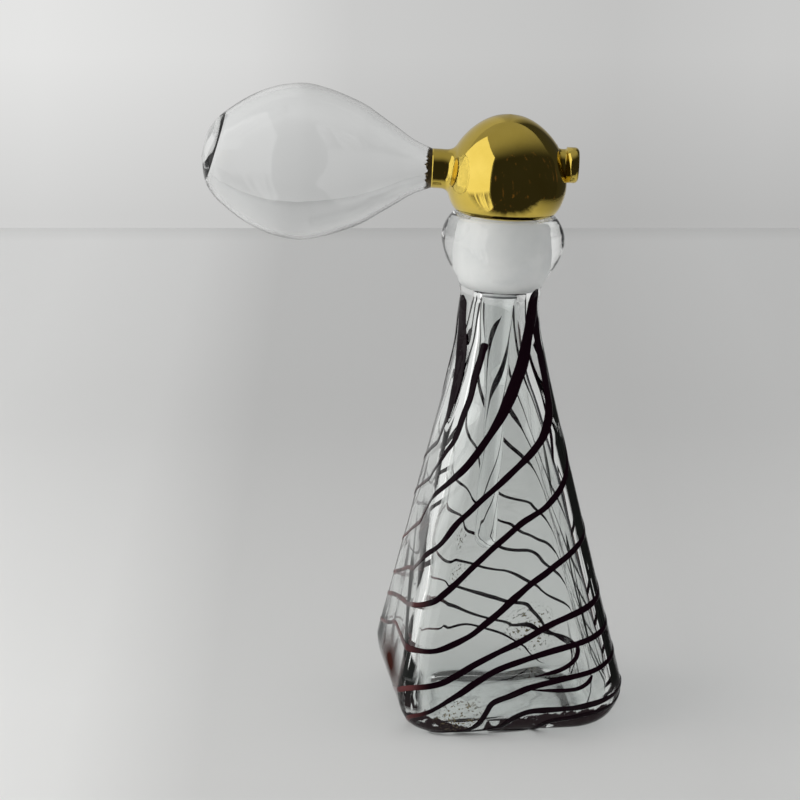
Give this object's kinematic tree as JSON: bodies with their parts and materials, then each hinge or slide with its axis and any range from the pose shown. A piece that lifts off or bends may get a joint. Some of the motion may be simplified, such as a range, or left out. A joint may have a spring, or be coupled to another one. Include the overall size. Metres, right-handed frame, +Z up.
{
  "type": "perfume bottle",
  "caption": "Square tapering clear glass perfume bottle with dark swirling trails, a round collar and a gilded stopper shaped like a bulb atomiser with a dauber rod.",
  "frame": {"origin": "centre of the flat foot that the bottle stands on", "axes": "+Z up from the foot; the glass bulb points along -X and the nozzle along +X; the square body is turned 7 degrees about +Z and the neck leans 3 degrees towards +X"},
  "size_m": [0.1162, 0.0686, 0.1777],
  "materials": {
    "clear_glass": "fire polished",
    "trail_glass": "fire polished",
    "ground_glass": "ground matt",
    "gilding": "bright gilding on glass",
    "blown_glass": "fire polished"
  },
  "bodies": {
    "bottle": {"bottle_body": "clear_glass", "neck_collar": "clear_glass", "trail_1": "trail_glass", "trail_2": "trail_glass", "trail_3": "trail_glass", "trail_4": "trail_glass", "trail_5": "trail_glass", "trail_6": "trail_glass", "trail_7": "trail_glass", "trail_8": "trail_glass", "trail_9": "trail_glass"},
    "plug": {"ground_plug": "ground_glass", "dauber_rod": "clear_glass"},
    "head": {"gilded_dome": "gilding", "bulb_stem": "gilding", "spray_nozzle": "gilding", "glass_bulb": "blown_glass", "bulb_end_seal": "blown_glass"}
  },
  "joints": [
    {"name": "stopper_lift", "type": "slide", "parent": "bottle", "child": "plug", "axis": [0.0523, 0, 0.9986], "range_m": [0, 0.12]},
    {"name": "stopper_turn", "type": "hinge", "parent": "plug", "child": "head", "pos_m": [0, 0, 0.117], "axis": [0.0523, 0, 0.9986], "continuous": true}
  ]
}
